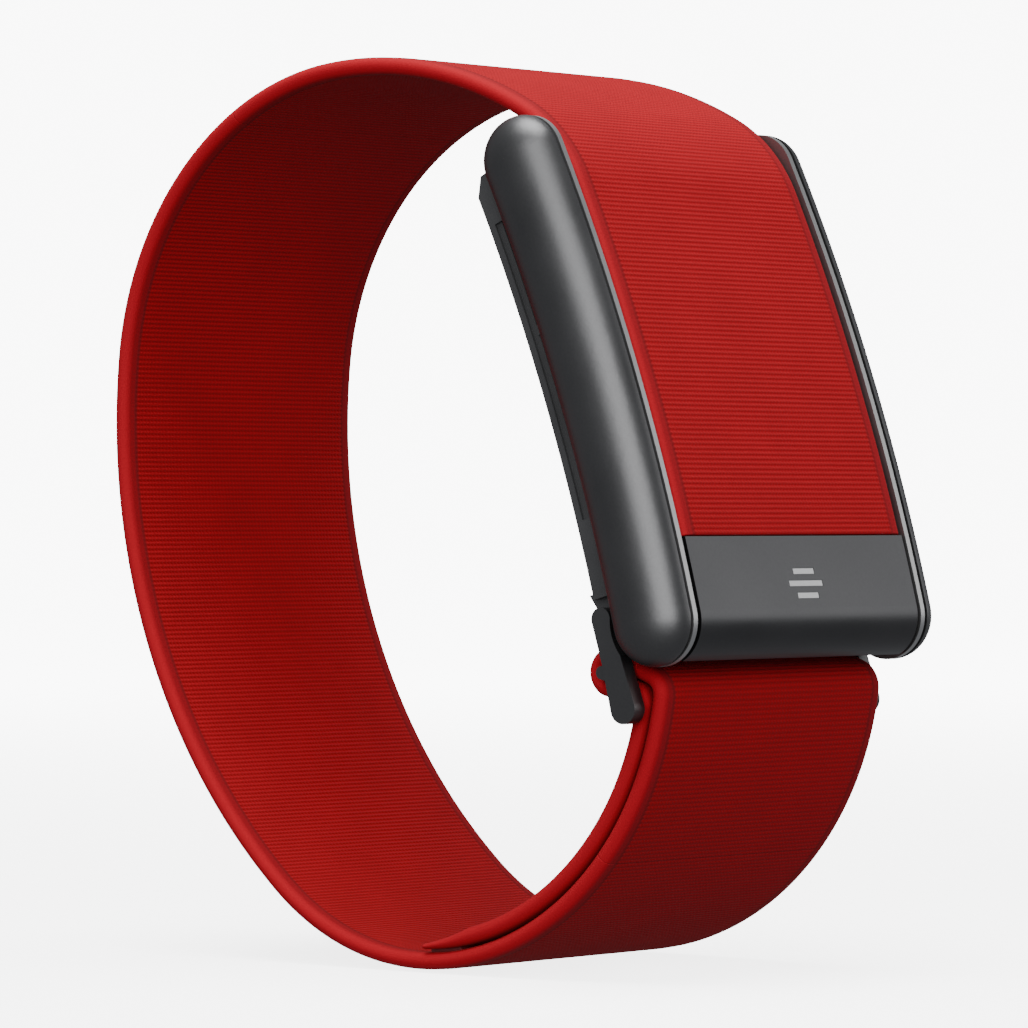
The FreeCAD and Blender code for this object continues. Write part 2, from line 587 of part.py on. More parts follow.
def housing_screws():
    screws = []
    for x, s in SCREW_PLACES:
        head = peg(s, x, FLOOR_TOP + 0.05, FLOOR_TOP + 0.05 + SCREW_HEAD_HEIGHT, SCREW_HEAD_RADIUS - 0.05)
        shank = peg(s, x, FLOOR_TOP + SCREW_HEAD_HEIGHT, FLOOR_TOP + SCREW_LENGTH, SCREW_RADIUS)
        screws.append(head.fuse(shank))
    return Part.makeCompound(screws)


# ---- lid ------------------------------------------------------------------------------------
def lid_carrier():
    half = BAND_HALF - 0.2
    plate = bent(CARRIER_LOW, FACE_LEAVE - 0.8, CARRIER_TOP, CARRIER_BOTTOM, -half, half)
    hinge_s = END_S
    arm = pod_polygon([(FACE_LEAVE - 1.2, CARRIER_TOP + 0.1), (FACE_LEAVE + 0.3, CARRIER_TOP + 0.2),
                       (hinge_s - 0.5, LID_HINGE_DEPTH - LID_BARREL_RADIUS + 0.05),
                       (hinge_s - 1.1, LID_HINGE_DEPTH - 0.2),
                       (FACE_LEAVE + 0.3, CARRIER_BOTTOM + 0.15), (FACE_LEAVE - 1.2, CARRIER_BOTTOM)],
                      -LID_BARREL_HALF, LID_BARREL_HALF)
    barrel = rod(LID_HINGE, LID_BARREL_RADIUS, -LID_BARREL_HALF, LID_BARREL_HALF)
    blade = slab(BLADE_S, BLADE_THICKNESS, CARRIER_BOTTOM - 0.1, CARRIER_BOTTOM + BLADE_REACH,
                 -BLADE_HALF, BLADE_HALF)
    bore = rod(LID_HINGE, LID_PIN_RADIUS + PIN_CLEARANCE, -BAND_HALF, BAND_HALF)
    clamp_seat = bent(*CLAMP_SPAN, CARRIER_TOP - 1, CARRIER_TOP + CLAMP_THICKNESS, 0.8 - half, half - 0.8)
    cuts = [bore, clamp_seat]
    cuts += [peg(CLAMP_MIDDLE, x, CARRIER_TOP - 1, CARRIER_BOTTOM + 1, SCREW_RADIUS) for x in CLAMP_SCREWS]
    return plate.fuse([arm, barrel, blade]).cut(cuts).removeSplitter()


def metal_plate():
    """Lower end of the lid, turned round the pod's lower end, with a plain engraved mark."""
    skin = bent(-END_S, SEAM_S, 0, PLATE_THICKNESS, -PLATE_HALF, PLATE_HALF)
    pad = bent(CARRIER_LOW, SEAM_S, 0, CARRIER_TOP, -PLATE_HALF, PLATE_HALF)
    centre = pod_point(-END_S, END_RADIUS)
    heading = pod_heading(-END_S)
    disc = rod(centre, END_RADIUS, -PLATE_HALF, PLATE_HALF)
    hollow = rod(centre, END_RADIUS - PLATE_THICKNESS, -BAND_HALF, BAND_HALF)
    far = 3 * END_RADIUS
    keep = [centre, centre + normal(heading) * far,
            centre + normal(heading - PLATE_WRAP / 2) * far,
            centre + normal(heading - PLATE_WRAP) * far]
    wedge = extrude(Part.Face(Part.makePolygon(keep + keep[:1])), -BAND_HALF, BAND_HALF)
    wrap = disc.cut(hollow).common(wedge)
    return skin.fuse([pad, wrap]).cut(mark_bars(0, -1)).removeSplitter()


def mark_bars(inset, top):
    """The mark's three bars, drawn in by an inset along their sides and ends."""
    return [slab(MARK_S + row * 2 * MARK_LINE, MARK_LINE - 2 * inset, top, MARK_DEPTH,
                 inset - half, half - inset) for row, half in MARK_BARS]


def fabric_clamp_strip():
    strip_half = BAND_HALF - 0.2 - 0.8 - 0.05
    bar = bent(CLAMP_SPAN[0] + 0.05, CLAMP_SPAN[1] - 0.05, CARRIER_TOP, CARRIER_TOP + CLAMP_THICKNESS,
               -strip_half, strip_half)
    return bar.cut([peg(CLAMP_MIDDLE, x, CARRIER_TOP - 1, CARRIER_BOTTOM + 1, SCREW_RADIUS)
                    for x in CLAMP_SCREWS])


def clamp_screws():
    return Part.makeCompound([peg(CLAMP_MIDDLE, x, CARRIER_TOP + 0.02, CARRIER_BOTTOM, SCREW_RADIUS)
                              for x in CLAMP_SCREWS])


def latch_spring():
    leaf_s = BLADE_S - BLADE_THICKNESS / 2 - BLADE_CLEARANCE
    return slab(leaf_s - 0.1, 0.15, FLOOR_BOTTOM, FLOOR_BOTTOM + 1.6, 0.5 - BLADE_HALF, BLADE_HALF - 0.5)


# ---- link -------------------------------------------------------------------------------------
def tapered(first, radius0, second, radius1):
    """Flat outline round two circles in the plane X = 0."""
    step = second - first
    gap = step.Length
    axis = step.normalize()
    side = V(0, -axis.z, axis.y)
    lean = (radius0 - radius1) / gap
    rise = math.sqrt(1 - lean ** 2)
    corners = []
    for centre, radius in ((first, radius0), (second, radius1)):
        corners.append(centre + axis * radius * lean + side * radius * rise)
        corners.append(centre + axis * radius * lean - side * radius * rise)
    ring = [corners[0], corners[2], corners[3], corners[1]]
    outline = Part.Face(Part.makePolygon(ring + ring[:1]))
    discs = [Part.Face(Part.Wire(Part.makeCircle(radius, centre, AXIS_X)))
             for centre, radius in ((first, radius0), (second, radius1))]
    return outline, discs


def plate_of(first, radius0, second, radius1, x0, x1):
    outline, discs = tapered(first, radius0, second, radius1)
    return extrude(outline, x0, x1).fuse([extrude(disc, x0, x1) for disc in discs])


def link_frame():
    knee = LINK_PIN + V(0, *LINK_KNEE)
    foot = LINK_PIN + V(0, *LINK_FOOT)
    ear = plate_of(LINK_PIN, LINK_EYE_RADIUS, knee, LINK_KNEE_RADIUS, EAR_INNER, EAR_OUTER)
    ear = ear.fuse(plate_of(knee, LINK_KNEE_RADIUS, foot, LINK_FOOT_RADIUS, EAR_INNER, EAR_OUTER))
    root = knee + V(0, *LINK_WEB_ROOT)
    web = plate_of(BAR, BAR_RADIUS, root, BAR_RADIUS, EAR_INNER - LINK_WEB_REACH, EAR_INNER + LINK_WEB_SINK)
    ear = ear.fuse(web)
    bar = rod(BAR, BAR_RADIUS, -EAR_INNER, EAR_INNER)
    frame = both_sides(ear).fuse(bar)
    past = EAR_OUTER + 1
    relief = rod(pod_point(-END_S, END_RADIUS), END_RADIUS + LINK_EAR_CLEARANCE, -past, past)
    bore = rod(LINK_PIN, LINK_PIN_RADIUS, -PIN_END, PIN_END)
    return frame.cut([relief, bore])


# ---- band ----------------------------------------------------------------------------------------
def band_lid_section():
    return bent(SEAM_S + SEAM_GAP, FACE_LEAVE, 0, BAND_THICKNESS, -BAND_HALF, BAND_HALF)


def split_upper():
    """The first bends up to the end of the flexing top, and what follows them."""
    first, second = UPPER[0], UPPER[1]
    flexing = Arc(first.end, first.last, second.radius, TOP_FLEX_END - first.last)
    rest = Arc(flexing.end, flexing.last, second.radius, second.last - TOP_FLEX_END)
    return [first, flexing], [rest] + UPPER[2:]


def band_main():
    front = front_layer(FRONT_HEADING, LOWER_FLEX_START)
    return strip(split_upper()[1] + LOWER + [front], 0, BAND_THICKNESS, BAND_HALF)


def band_lower_flex():
    outer = strip([front_layer(LOWER_FLEX_START, FOLD_START)], 0, BAND_THICKNESS, BAND_HALF)
    inner = strip([tail_layer(FOLD_START, LOWER_FLEX_START)], 0, BAND_THICKNESS, BAND_HALF)
    return Part.makeCompound([outer, inner])


def band_fold():
    front = front_layer(FOLD_START, FRONT_END_HEADING)
    over = 360 + FOLD_HEADING
    tip = Arc(front.end, front.last, FOLD_TIP_RADIUS, over - front.last)
    run = Run(tip.end, over, FOLD_RUN)
    bulb = Arc(run.end, over, BULB_RADIUS, 630 - over)
    corner_y = FRONT_CENTRE.y - CORNER_REACH * math.cos(math.radians(TAIL_HEADING - 180))
    back = Run(bulb.end, 630, bulb.end.y - corner_y)
    corner = Arc(back.end, 630, -FOLD_CORNER_RADIUS, TAIL_HEADING - 270)
    tail = Arc(corner.end, corner.last, -TAIL_RADIUS, -FOLD_LEG)
    return strip([front, tip, run, bulb, back, corner, tail], 0, BAND_THICKNESS, BAND_HALF)


def tail_pieces():
    along_front = tail_layer(LOWER_FLEX_START, FRONT_HEADING)
    under_radius = UNDER_BEND[0] - TAIL_OFFSET
    return [along_front, Arc(along_front.end, along_front.last, -under_radius, -TAIL_EXTRA)]


def band_tail():
    return strip(tail_pieces(), 0, BAND_THICKNESS, BAND_HALF)


def tail_bond():
    """Film that bonds the tail's end to the layer outside it."""
    last = tail_pieces()[1]
    return strip([last], BAND_THICKNESS + 0.01, BAND_THICKNESS + LAYER_GAP - 0.01, BAND_HALF - 1)


# ---- places that the pieces above share ---------------------------------------------------------
LID_HINGE = pod_point(END_S, LID_HINGE_DEPTH)
HAPTIC_AXIS = pod_point(HAPTIC_S, HAPTIC_DEPTH)
WINDOW_SEAT = PLINTH_BOTTOM - WINDOW_FLANGE - 0.05
SENSOR_FACE = CAVITY_BOTTOM - 0.1
BOARD_LOW = HAPTIC_S + HAPTIC_RADIUS + 2 * FIT
BOARD_HIGH = CAVITY_HIGH - FIT
BOARD_MIDDLE = (BOARD_LOW + BOARD_HIGH) / 2
BOARD_LENGTH = BOARD_HIGH - BOARD_LOW
BOARD_DEPTH = SENSOR_FACE - 2 * BOARD_THICKNESS - BOARD_GAP
CONTACT_PLACES = [-CONTACT_PITCH, 0, CONTACT_PITCH]
CLAMP_SPAN = (SEAM_S + 0.4, SEAM_S + 0.4 + CLAMP_WIDTH)
CLAMP_MIDDLE = SEAM_S + 0.4 + CLAMP_WIDTH / 2
CLAMP_SCREWS = [-0.7 * BAND_HALF, -0.24 * BAND_HALF, 0.24 * BAND_HALF, 0.7 * BAND_HALF]
PLATE_HALF = BAND_HALF - 0.1
MARK_S = SEAM_S - MARK_DROP
MARK_INSET = 0.02

LED_PLACES = [(0, -3), (0, 0), (0, 3)]
DIODE_PLACES = [(side * 4.1, offset) for side in (-1, 1) for offset in (-2.3, 2.3)]

cover, gasket, rail = side_cover(), side_gasket(), slide_rail()
nodes = {
    "chassis": chassis(),
    "side_cover_left": cover.mirror(ORIGIN, AXIS_X),
    "side_cover_right": cover,
    "side_gasket_left": gasket.mirror(ORIGIN, AXIS_X),
    "side_gasket_right": gasket,
    "back_housing": back_housing(),
    "slide_rail_left": rail.mirror(ORIGIN, AXIS_X),
    "slide_rail_right": rail,
    "optical_window": optical_window(),
    "window_gasket": window_gasket(),
    "light_barrier": light_barrier(),
    "led_emitters": chips(LED_PLACES, 0.8, 1.4, 0.5),
    "photodiodes": chips(DIODE_PLACES, 1.0, 2.6, 0.4),
    "sensor_board": sensor_board(),
    "main_board": main_board(),
    "board_connector": board_connector(),
    "rf_shield": rf_shield(),
    "battery": battery(),
    "antenna": antenna(),
    "haptic_can": haptic_can(),
    "haptic_shaft": haptic_shaft(),
    "haptic_weight": haptic_weight(),
    "haptic_pad": haptic_pad(),
    "charge_contacts": charge_contacts(),
    "housing_gasket": housing_gasket(),
    "housing_screws": housing_screws(),
    "lid_carrier": lid_carrier(),
    "metal_plate": metal_plate(),
    "plate_mark": Part.makeCompound(mark_bars(MARK_INSET, 0.03)),
    "fabric_clamp_strip": fabric_clamp_strip(),
    "clamp_screws": clamp_screws(),
    "latch_spring": latch_spring(),
    "lid_hinge_pin": rod(LID_HINGE, LID_PIN_RADIUS, -RAIL_INNER, RAIL_INNER),
    "link_frame": link_frame(),
    "link_pin": rod(LINK_PIN, LINK_PIN_RADIUS, -PIN_END, PIN_END),
    "band_lid_section": band_lid_section(),
    "band_top_flex": strip(split_upper()[0], 0, BAND_THICKNESS, BAND_HALF),
    "band_main": band_main(),
    "band_lower_flex": band_lower_flex(),
    "band_fold": band_fold(),
    "band_tail": band_tail(),
    "tail_bond": tail_bond(),
}

os.makedirs("parts", exist_ok=True)
for name, shape in nodes.items():
    shape.exportStep("parts/" + name + ".step")
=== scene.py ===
"""Activity tracker on a red knitted wristband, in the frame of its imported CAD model."""
import bpy
import math
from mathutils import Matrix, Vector


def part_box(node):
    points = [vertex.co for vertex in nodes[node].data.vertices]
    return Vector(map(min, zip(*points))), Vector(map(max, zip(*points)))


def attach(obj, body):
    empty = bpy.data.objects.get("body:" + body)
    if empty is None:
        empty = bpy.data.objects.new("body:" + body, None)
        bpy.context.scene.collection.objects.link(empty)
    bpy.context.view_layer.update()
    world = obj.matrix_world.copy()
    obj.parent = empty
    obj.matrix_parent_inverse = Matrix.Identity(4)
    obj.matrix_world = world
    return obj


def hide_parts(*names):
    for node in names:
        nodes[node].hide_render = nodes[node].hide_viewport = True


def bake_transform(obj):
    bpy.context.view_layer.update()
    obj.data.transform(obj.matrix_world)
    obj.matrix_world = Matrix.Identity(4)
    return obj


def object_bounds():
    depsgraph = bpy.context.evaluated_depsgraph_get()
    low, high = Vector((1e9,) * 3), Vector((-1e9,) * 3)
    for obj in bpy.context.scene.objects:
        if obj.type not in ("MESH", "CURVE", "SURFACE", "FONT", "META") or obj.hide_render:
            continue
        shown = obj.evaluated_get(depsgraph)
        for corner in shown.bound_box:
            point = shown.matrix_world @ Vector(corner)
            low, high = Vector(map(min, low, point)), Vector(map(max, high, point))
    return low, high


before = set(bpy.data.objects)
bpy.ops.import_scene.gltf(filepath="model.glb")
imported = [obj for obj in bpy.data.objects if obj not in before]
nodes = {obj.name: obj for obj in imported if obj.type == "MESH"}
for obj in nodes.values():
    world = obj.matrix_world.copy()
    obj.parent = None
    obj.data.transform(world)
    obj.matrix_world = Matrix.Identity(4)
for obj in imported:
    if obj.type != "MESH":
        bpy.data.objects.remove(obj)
cad_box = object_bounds()
MM = 0.001

# ---- Camera -------------------------------------------------------------------------
# A long lens looks level at the pod's left side and outer face, with the loop behind it.
camera_data = bpy.data.cameras.new("camera")
camera_data.lens = 197.2
camera_data.sensor_width = 36.0
camera = bpy.data.objects.new("camera", camera_data)
camera.location = (-0.31034, -0.26400, 0.0)
camera.rotation_euler = (math.radians(90.0), 0.0, math.radians(-50.36))
camera_data.clip_start = 0.01
bpy.context.collection.objects.link(camera)
bpy.context.scene.camera = camera


# ---- Floor and light -------------------------------------------------------------------
# A white table top under the loop, painted with a glow that is dimmer near the loop and brighter far
# off, a white room, and three soft lamps: one overhead, a large one at the front left and a weak one at
# the front right.
FLOOR_GAP = 0.0002
FLOOR_REACH = 3.0


def link_inputs(tree, node, **values):
    """Set a shader node's inputs: a socket is linked, anything else is its own value."""
    for name, value in values.items():
        socket = node.inputs[name.replace("_", " ")]
        if isinstance(value, bpy.types.NodeSocket):
            tree.links.new(value, socket)
        else:
            socket.default_value = value
    return node


floor_mesh = bpy.data.meshes.new("floor")
lowest = cad_box[0][2] - FLOOR_GAP
corners = [(x * FLOOR_REACH, y * FLOOR_REACH, lowest) for x, y in ((-1, -1), (1, -1), (1, 1), (-1, 1))]
floor_mesh.from_pydata(corners, [], [(0, 1, 2, 3)])
floor = bpy.data.objects.new("floor", floor_mesh)
bpy.context.collection.objects.link(floor)
floor_paint = bpy.data.materials.new("floor_paint")
floor_paint.use_nodes = True
paint = floor_paint.node_tree
spot = paint.nodes.new("ShaderNodeTexCoord")
distance = paint.nodes.new("ShaderNodeVectorMath")
distance.operation = "LENGTH"
paint.links.new(spot.outputs["Object"], distance.inputs[0])
# Painted glow: the floor's emission rises from near the loop outwards.
glow = paint.nodes.new("ShaderNodeMapRange")
glow.interpolation_type = "SMOOTHSTEP"
paint.links.new(distance.outputs["Value"], glow.inputs["Value"])
for name, number in (("From Min", 0.04), ("From Max", 0.70), ("To Min", 4.0), ("To Max", 9.0)):
    glow.inputs[name].default_value = number
link_inputs(paint, paint.nodes["Principled BSDF"], Base_Color=(0.9, 0.9, 0.9, 1), Roughness=0.9,
            Specular_IOR_Level=0.0, Emission_Color=(1, 1, 1, 1),
            Emission_Strength=glow.outputs["Result"])
floor_mesh.materials.append(floor_paint)
floor.visible_diffuse = False
floor.visible_glossy = False

world = bpy.data.worlds.new("room")
world.use_nodes = True
bpy.context.scene.world = world
room = world.node_tree
behind = room.nodes["Background"]
behind.inputs["Color"].default_value = (1, 1, 1, 1)
behind.inputs["Strength"].default_value = 9.3
around = room.nodes.new("ShaderNodeBackground")
around.inputs["Color"].default_value = (0.93, 0.95, 1.0, 1)
around.inputs["Strength"].default_value = 0.37
seen = room.nodes.new("ShaderNodeLightPath")
choice = room.nodes.new("ShaderNodeMixShader")
room.links.new(seen.outputs["Is Camera Ray"], choice.inputs[0])
room.links.new(around.outputs[0], choice.inputs[1])
room.links.new(behind.outputs[0], choice.inputs[2])
room.links.new(choice.outputs[0], room.nodes["World Output"].inputs["Surface"])


def soft_lamp(name, place, aim, size, power):
    """Rectangular area lamp turned towards a point."""
    lamp = bpy.data.lights.new(name, "AREA")
    lamp.shape = "RECTANGLE"
    lamp.size, lamp.size_y = size
    lamp.energy = power
    holder = bpy.data.objects.new(name, lamp)
    holder.location = place
    holder.rotation_euler = (Vector(aim) - Vector(place)).to_track_quat("-Z", "Y").to_euler()
    bpy.context.collection.objects.link(holder)


soft_lamp("overhead", (-0.04, -0.02, 0.50), (0, -0.01, 0), (0.40, 0.40), 6.1)
soft_lamp("left_front", (-0.50, -0.38, 0.20), (0, -0.01, 0), (0.60, 0.50), 5.6)
soft_lamp("right_front", (0.48, -0.44, 0.14), (0, -0.02, 0), (0.30, 0.30), 0.8)


# ---- Knit of the band -------------------------------------------------------------------
# Elastic band, knitted with a fine rib across its width and a smooth rolled selvedge.
# The ribs are raised in the mesh; each rib's stitches and the yarn's fuzz are in the finish, and the
# outermost edges carry a painted highlight.
BAND_WIDTH = 25.0 * MM
BAND_THICKNESS = 1.2 * MM
SELVEDGE = 1.15 * MM
RIB_PITCH = 0.35 * MM
RIB_HEIGHT = 0.035 * MM
STITCH_PITCH = 0.36 * MM
KNIT_BUMP = 0.05 * MM


def shader_group(name, inputs, outputs):
    """Empty node group with named sockets; returns the tree and its two end nodes."""
    tree = bpy.data.node_groups.new(name, "ShaderNodeTree")
    for socket, kind, value in inputs:
        made = tree.interface.new_socket(socket, in_out="INPUT", socket_type=kind)
        if value is not None:
            made.default_value = value
    for socket, kind in outputs:
        tree.interface.new_socket(socket, in_out="OUTPUT", socket_type=kind)
    return tree, tree.nodes.new("NodeGroupInput"), tree.nodes.new("NodeGroupOutput")


def maths(tree, operation, first, second=None, third=None):
    """Output of a maths node whose inputs are sockets or numbers."""
    node = tree.nodes.new("ShaderNodeMath")
    node.operation = operation
    for index, value in enumerate((first, second, third)):
        if isinstance(value, bpy.types.NodeSocket):
            tree.links.new(value, node.inputs[index])
        elif value is not None:
            node.inputs[index].default_value = value
    return node.outputs[0]


def noise(tree, vector, scale, detail):
    node = tree.nodes.new("ShaderNodeTexNoise")
    node.inputs["Scale"].default_value = scale
    node.inputs["Detail"].default_value = detail
    tree.links.new(vector, node.inputs["Vector"])
    return node.outputs["Fac"]


def mix_colour(tree, share, first, second):
    node = tree.nodes.new("ShaderNodeMix")
    node.data_type = "RGBA"
    for name, value in ((0, share), (6, first), (7, second)):
        if isinstance(value, bpy.types.NodeSocket):
            tree.links.new(value, node.inputs[name])
        else:
            node.inputs[name].default_value = value
    return node.outputs[2]


def stretch_range(tree, value, low, high, to_low, to_high):
    """Map low..high to to_low..to_high, held level past both ends."""
    node = tree.nodes.new("ShaderNodeMapRange")
    tree.links.new(value, node.inputs["Value"])
    ends = (("From Min", low), ("From Max", high), ("To Min", to_low), ("To Max", to_high))
    for name, number in ends:
        node.inputs[name].default_value = number
    return node.outputs["Result"]


def knit_pattern():
    """Stitches of a ribbed knit on a UV map laid out in millimetres."""
    tree, start, end = shader_group(
        "knit_pattern",
        [("Rib Pitch", "NodeSocketFloat", 0.4), ("Stitch Pitch", "NodeSocketFloat", 0.42)],
        [("Colour", "NodeSocketColor"), ("Height", "NodeSocketFloat")])
    lay = tree.nodes.new("ShaderNodeUVMap")
    lay.uv_map = "UVMap"
    split = tree.nodes.new("ShaderNodeSeparateXYZ")
    tree.links.new(lay.outputs[0], split.inputs[0])
    across, lengthways = split.outputs[0], split.outputs[1]
    wander = noise(tree, lay.outputs[0], 0.9, 2.0)
    row = maths(tree, "DIVIDE", lengthways, start.outputs["Rib Pitch"])
    stitch = maths(tree, "DIVIDE", across, start.outputs["Stitch Pitch"])
    stitch = maths(tree, "ADD", stitch, maths(tree, "MULTIPLY", wander, 0.8))
    rib = maths(tree, "COSINE", maths(tree, "MULTIPLY", row, 2 * math.pi))
    lean = maths(tree, "ABSOLUTE", maths(tree, "SUBTRACT", maths(tree, "FRACT", row), 0.5))
    leaning = maths(tree, "ADD", stitch, lean)
    loop = maths(tree, "COSINE", maths(tree, "MULTIPLY", leaning, 2 * math.pi))
    body = maths(tree, "MULTIPLY_ADD", loop, 0.20, maths(tree, "MULTIPLY", rib, 0.42))
    fuzz = noise(tree, lay.outputs[0], 9.0, 4.0)
    patch = noise(tree, lay.outputs[0], 0.22, 2.0)
    height = maths(tree, "MULTIPLY_ADD", fuzz, 0.55, body)
    tone = stretch_range(tree, maths(tree, "ADD", height, maths(tree, "MULTIPLY", patch, 0.4)),
                         -0.35, 1.15, 0.0, 1.0)
    colour = mix_colour(tree, tone, (0.135, 0.0006, 0.0022, 1), (0.28, 0.0020, 0.0066, 1))
    tree.links.new(colour, end.inputs["Colour"])
    tree.links.new(height, end.inputs["Height"])
    return tree


def selvedge_mask():
    """1 on the smooth rolled edges of the band and 0 on its ribbed middle, with the seam line between
    them and a painted highlight on the outermost edge.
    """
    tree, start, end = shader_group("selvedge_mask", [("Inner Edge", "NodeSocketFloat", 11.2)],
                                    [("Mask", "NodeSocketFloat"), ("Seam", "NodeSocketFloat"),
                                     ("Rim", "NodeSocketFloat")])
    place = tree.nodes.new("ShaderNodeTexCoord")
    split = tree.nodes.new("ShaderNodeSeparateXYZ")
    tree.links.new(place.outputs["Object"], split.inputs[0])
    side = maths(tree, "MULTIPLY", maths(tree, "ABSOLUTE", split.outputs[0]), 1000.0)
    past = maths(tree, "SUBTRACT", side, start.outputs["Inner Edge"])
    tree.links.new(stretch_range(tree, past, -0.08, 0.08, 0.0, 1.0), end.inputs["Mask"])
    # Painted highlight: a band along the outermost rounded edge, where the edge catches the light.
    tree.links.new(stretch_range(tree, past, 0.5, 0.95, 0.0, 1.0), end.inputs["Rim"])
    near = maths(tree, "ABSOLUTE", past)
    tree.links.new(stretch_range(tree, near, 0.0, 0.22, 1.0, 0.0), end.inputs["Seam"])
    return tree


def add_group(tree, group):
    node = tree.nodes.new("ShaderNodeGroup")
    node.node_tree = group
    return node


def new_material(name):
    material = bpy.data.materials.new(name)
    material.use_nodes = True
    return material, material.node_tree, material.node_tree.nodes["Principled BSDF"]


def add_bump(tree, shader, height, strength, distance):
    bump = tree.nodes.new("ShaderNodeBump")
    bump.inputs["Strength"].default_value = strength
    bump.inputs["Distance"].default_value = distance
    tree.links.new(height, bump.inputs["Height"])
    tree.links.new(bump.outputs[0], shader.inputs["Normal"])


def red_knit():
    material, tree, shader = new_material("red_knit")
    knit = add_group(tree, knit_pattern())
    knit.inputs["Rib Pitch"].default_value = RIB_PITCH / MM
    knit.inputs["Stitch Pitch"].default_value = STITCH_PITCH / MM
    edge = add_group(tree, selvedge_mask())
    edge.inputs["Inner Edge"].default_value = (BAND_WIDTH / 2 - SELVEDGE) / MM
    lay = tree.nodes.new("ShaderNodeUVMap")
    lay.uv_map = "UVMap"
    fibre = noise(tree, lay.outputs[0], 7.0, 4.0)
    rolled = mix_colour(tree, fibre, (0.11, 0.0010, 0.0026, 1), (0.25, 0.0034, 0.0084, 1))
    # The outermost edge is mixed towards a brighter red, a painted highlight.
    rolled = mix_colour(tree, maths(tree, "MULTIPLY", edge.outputs["Rim"], 0.35), rolled,
                        (0.46, 0.0070, 0.0160, 1))
    colour = mix_colour(tree, edge.outputs["Mask"], knit.outputs["Colour"], rolled)
    seam = maths(tree, "MULTIPLY", edge.outputs["Seam"], 0.6)
    colour = mix_colour(tree, seam, colour, (0.07, 0.003, 0.004, 1))
    smooth = maths(tree, "MULTIPLY", fibre, 0.7)
    ribbed = maths(tree, "SUBTRACT", 1.0, edge.outputs["Mask"])
    height = maths(tree, "ADD", maths(tree, "MULTIPLY", knit.outputs["Height"], ribbed),
                   maths(tree, "MULTIPLY", smooth, edge.outputs["Mask"]))
    add_bump(tree, shader, height, 0.45, KNIT_BUMP)
    link_inputs(tree, shader, Base_Color=colour, Roughness=0.85, Sheen_Weight=0.05,
                Sheen_Roughness=0.4, Sheen_Tint=(1.0, 0.12, 0.10, 1), Specular_IOR_Level=0.12)
    return material


def rib_tree(material):
    """Geometry Nodes that raise ribs across a band whose points know their place along it."""
    tree = bpy.data.node_groups.new("raise_ribs", "GeometryNodeTree")
    tree.interface.new_socket("Geometry", in_out="INPUT", socket_type="NodeSocketGeometry")
    for name in ("Rib Pitch", "Rib Height", "Inner Edge"):
        tree.interface.new_socket(name, in_out="INPUT", socket_type="NodeSocketFloat")
    tree.interface.new_socket("Geometry", in_out="OUTPUT", socket_type="NodeSocketGeometry")
    start, end = tree.nodes.new("NodeGroupInput"), tree.nodes.new("NodeGroupOutput")

    def stored(name):
        node = tree.nodes.new("GeometryNodeInputNamedAttribute")
        node.data_type = "FLOAT"
        node.inputs["Name"].default_value = name
        return node.outputs["Attribute"]

    place = tree.nodes.new("GeometryNodeInputPosition").outputs[0]
    ragged = tree.nodes.new("ShaderNodeTexNoise")
    ragged.inputs["Scale"].default_value = 700.0
    tree.links.new(place, ragged.inputs["Vector"])
    turns = maths(tree, "DIVIDE", stored("along"), start.outputs["Rib Pitch"])
    turns = maths(tree, "ADD", turns, maths(tree, "MULTIPLY", ragged.outputs[0], 0.25))
    wave = maths(tree, "COSINE", maths(tree, "MULTIPLY", turns, 2 * math.pi))
    wave = maths(tree, "MULTIPLY_ADD", wave, 0.5, -0.5)
    inside = maths(tree, "LESS_THAN", stored("side"), start.outputs["Inner Edge"])
    wave = maths(tree, "MULTIPLY", wave, inside)
    height = maths(tree, "MULTIPLY", wave, start.outputs["Rib Height"])
    rise = tree.nodes.new("ShaderNodeVectorMath")
    rise.operation = "SCALE"
    tree.links.new(tree.nodes.new("GeometryNodeInputNormal").outputs[0], rise.inputs[0])
    tree.links.new(height, rise.inputs["Scale"])
    move = tree.nodes.new("GeometryNodeSetPosition")
    tree.links.new(start.outputs["Geometry"], move.inputs["Geometry"])
    tree.links.new(rise.outputs[0], move.inputs["Offset"])
    realize = tree.nodes.new("GeometryNodeRealizeInstances")
    finish = tree.nodes.new("GeometryNodeSetMaterial")
    finish.inputs["Material"].default_value = material
    tree.links.new(move.outputs[0], realize.inputs[0])
    tree.links.new(realize.outputs[0], finish.inputs["Geometry"])
    tree.links.new(finish.outputs[0], end.inputs[0])
    return tree


def run_tree(piece, tree, **values):
    """Give a piece a Geometry Nodes tree and replace its mesh with the plain result."""
    modifier = piece.modifiers.new("nodes", "NODES")
    modifier.node_group = tree
    for socket in tree.interface.items_tree:
        if socket.in_out == "INPUT" and socket.name.replace(" ", "_") in values:
            modifier[socket.identifier] = values[socket.name.replace(" ", "_")]
    bpy.context.view_layer.update()
    shown = piece.evaluated_get(bpy.context.evaluated_depsgraph_get())
    result = bpy.data.meshes.new_from_object(shown)
    piece.modifiers.remove(modifier)
    piece.data = result


